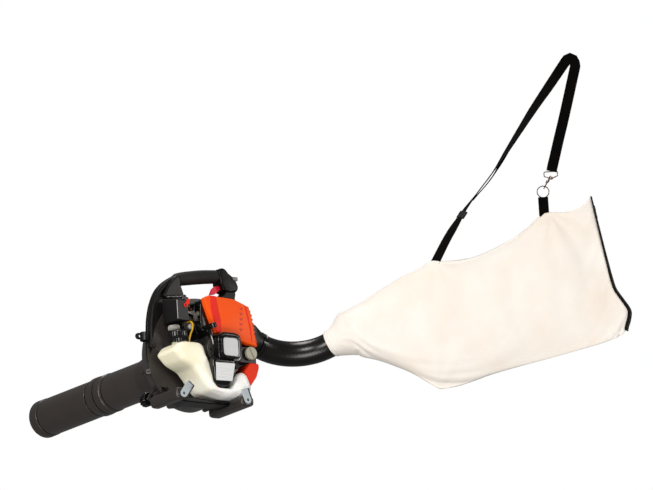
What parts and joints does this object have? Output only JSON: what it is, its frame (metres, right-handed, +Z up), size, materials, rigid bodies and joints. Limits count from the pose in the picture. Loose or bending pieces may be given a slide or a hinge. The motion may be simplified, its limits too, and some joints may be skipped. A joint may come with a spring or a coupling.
{
  "type": "petrol blower vac",
  "caption": "Handheld petrol blower-vac with a suction pipe, a discharge elbow, a cloth dust bag on a shoulder strap, a rear arch handle with throttle, and a stand.",
  "frame": {"origin": "on the ground under the crank axis, in the plane of the handle rim's engine side", "axes": "+X to the machine's front, where the air leaves; +Y along the suction pipe, away from the engine; +Z up"},
  "size_m": [1.0739, 1.1342, 0.8608],
  "materials": {
    "black_plastic": "moulded, fine grain, satin",
    "gloss_black_plastic": "smooth moulded, glossy",
    "pipe_plastic": "moulded dark grey, satin",
    "grip_rubber": "ribbed soft grip, matte",
    "orange_plastic": "moulded orange-red, glossy",
    "red_plastic": "moulded red, glossy",
    "tank_plastic": "translucent natural plastic, smooth",
    "ivory_plastic": "moulded ivory, satin",
    "bracket_grey": "moulded light blue-grey",
    "cast_aluminium": "die cast, fine shot surface",
    "silver_plate": "bare plate, brushed",
    "machined_steel": "machined and zinc plated",
    "bright_steel": "plated wire, bright",
    "dark_metal": "black painted die casting",
    "canvas": "plain woven cream cloth",
    "black_webbing": "woven black webbing",
    "cord_white": "braided cord",
    "filter_felt": "foam and felt",
    "hose_yellow": "translucent fuel hose",
    "clear_rubber": "soft moulded bulb"
  },
  "bodies": {
    "blower": {"air_cleaner_case": "black_plastic", "air_cleaner_cover": "black_plastic", "air_filter": "filter_felt", "bag_webbing": "black_webbing", "carburettor": "cast_aluminium", "crankcase": "cast_aluminium", "cylinder": "cast_aluminium", "cylinder_cover": "orange_plastic", "discharge_elbow": "gloss_black_plastic", "dust_bag": "canvas", "fan_housing_engine_half": "black_plastic", "fan_housing_intake_half": "black_plastic", "front_lower_cover": "orange_plastic", "fuel_hose": "hose_yellow", "fuel_tank": "tank_plastic", "grip_sleeve": "grip_rubber", "handle_shells": "black_plastic", "hinge_pins": "machined_steel", "housing_screws": "machined_steel", "ignition_coil": "black_plastic", "intake_heat_shield": "black_plastic", "leg_brackets": "bracket_grey", "main_bearings": "machined_steel", "muffler": "machined_steel", "oil_sump": "cast_aluminium", "outlet_adapter": "black_plastic", "rating_plate": "silver_plate", "shoulder_strap": "black_webbing", "snap_loop": "bright_steel", "spark_plug": "machined_steel", "spark_plug_cap": "grip_rubber", "stand": "black_plastic", "starter_guard_plate": "silver_plate", "starter_housing": "black_plastic", "strap_lug": "black_plastic", "tank_mounts": "grip_rubber", "throttle_housing_shells": "black_plastic", "zip_tape": "black_webbing"},
    "crank": {"crankshaft": "machined_steel", "fan_impeller": "black_plastic", "flywheel": "cast_aluminium"},
    "piston": {"piston": "cast_aluminium", "connecting_rod": "machined_steel"},
    "starter_reel": {"starter_reel": "black_plastic"},
    "starter_pull": {"starter_grip": "black_plastic", "starter_rope": "cord_white"},
    "throttle_trigger": {"throttle_trigger": "red_plastic"},
    "stop_switch": {"stop_switch": "black_plastic"},
    "choke_lever": {"choke_lever": "red_plastic"},
    "primer_bulb": {"primer_bulb": "clear_rubber"},
    "fuel_cap": {"fuel_cap": "black_plastic"},
    "oil_cap": {"oil_cap": "ivory_plastic"},
    "intake_cover": {"intake_cover": "pipe_plastic", "suction_pipe_upper": "pipe_plastic", "suction_pipe_lower": "pipe_plastic"},
    "cover_knob": {"cover_knob": "black_plastic"},
    "zip_slider": {"zip_slider": "dark_metal"},
    "strap_ring": {"strap_ring": "bright_steel"},
    "snap_hook": {"snap_hook": "bright_steel"},
    "strap_adjuster": {"strap_adjuster": "black_plastic"}
  },
  "joints": [
    {"name": "crank_turn", "type": "hinge", "parent": "blower", "child": "crank", "pos_m": [0, 0, 0.138], "axis": [0, 1, 0], "continuous": true},
    {"name": "piston_stroke", "type": "slide", "parent": "blower", "child": "piston", "axis": [0, 0, -1], "range_m": [0, 0.028]},
    {"name": "starter_pull_out", "type": "slide", "parent": "blower", "child": "starter_pull", "axis": [-0.2588, 0, 0.9659], "range_m": [0, 0.3], "stiffness_N_per_m": 30, "springref_m": -0.1},
    {"name": "starter_reel_turn", "type": "hinge", "parent": "blower", "child": "starter_reel", "pos_m": [0, -0.09, 0.138], "axis": [0, 1, 0], "range_deg": [0, 665]},
    {"name": "throttle_squeeze", "type": "hinge", "parent": "blower", "child": "throttle_trigger", "pos_m": [0.094, 0.015, 0.322], "axis": [0, 1, 0], "range_deg": [0, 8], "stiffness_Nm_per_rad": 0.2, "springref_deg": -17.19},
    {"name": "stop_press", "type": "slide", "parent": "blower", "child": "stop_switch", "axis": [0, 1, 0], "range_m": [0, 0.002], "stiffness_N_per_m": 200, "springref_m": -0.004},
    {"name": "choke_turn", "type": "hinge", "parent": "blower", "child": "choke_lever", "pos_m": [-0.0904, -0.0718, 0.2406], "axis": [0, 1, 0], "range_deg": [0, 40]},
    {"name": "primer_press", "type": "slide", "parent": "blower", "child": "primer_bulb", "axis": [0, 1, 0], "range_m": [0, 0.003], "stiffness_N_per_m": 300, "springref_m": -0.004},
    {"name": "fuel_cap_turn", "type": "hinge", "parent": "blower", "child": "fuel_cap", "pos_m": [-0.104, -0.057, 0.143], "axis": [-0.1931, -0.1738, 0.9657], "range_deg": [0, 120]},
    {"name": "oil_cap_turn", "type": "hinge", "parent": "blower", "child": "oil_cap", "pos_m": [0.08, -0.0825, 0.136], "axis": [0, -1, 0], "range_deg": [0, 120]},
    {"name": "intake_cover_open", "type": "hinge", "parent": "blower", "child": "intake_cover", "pos_m": [0.096, 0.066, 0.138], "axis": [0, 0, -1], "range_deg": [0, 100]},
    {"name": "cover_knob_turn", "type": "hinge", "parent": "intake_cover", "child": "cover_knob", "pos_m": [-0.10704, 0.07, 0.04595], "axis": [0, 1, 0], "range_deg": [0, 270]},
    {"name": "zip_run", "type": "slide", "parent": "blower", "child": "zip_slider", "axis": [0.1482, -0.1061, -0.9833], "range_m": [0, 0.27]},
    {"name": "ring_swing", "type": "hinge", "parent": "blower", "child": "strap_ring", "pos_m": [0.76371, -0.37883, 0.53866], "axis": [0.8131, -0.5821, 0], "range_deg": [-2, 2]},
    {"name": "hook_swivel", "type": "hinge", "parent": "blower", "child": "snap_hook", "pos_m": [0.76371, -0.37883, 0.54086], "axis": [0, 0, 1], "range_deg": [-12, 12]},
    {"name": "adjuster_slide", "type": "slide", "parent": "blower", "child": "strap_adjuster", "axis": [0.4732, -0.3388, 0.8132], "range_m": [0, 0.1]}
  ],
  "couplings": [
    {"joint": "starter_reel_turn", "follows": "starter_pull_out", "rad_per_m": 38.462}
  ]
}
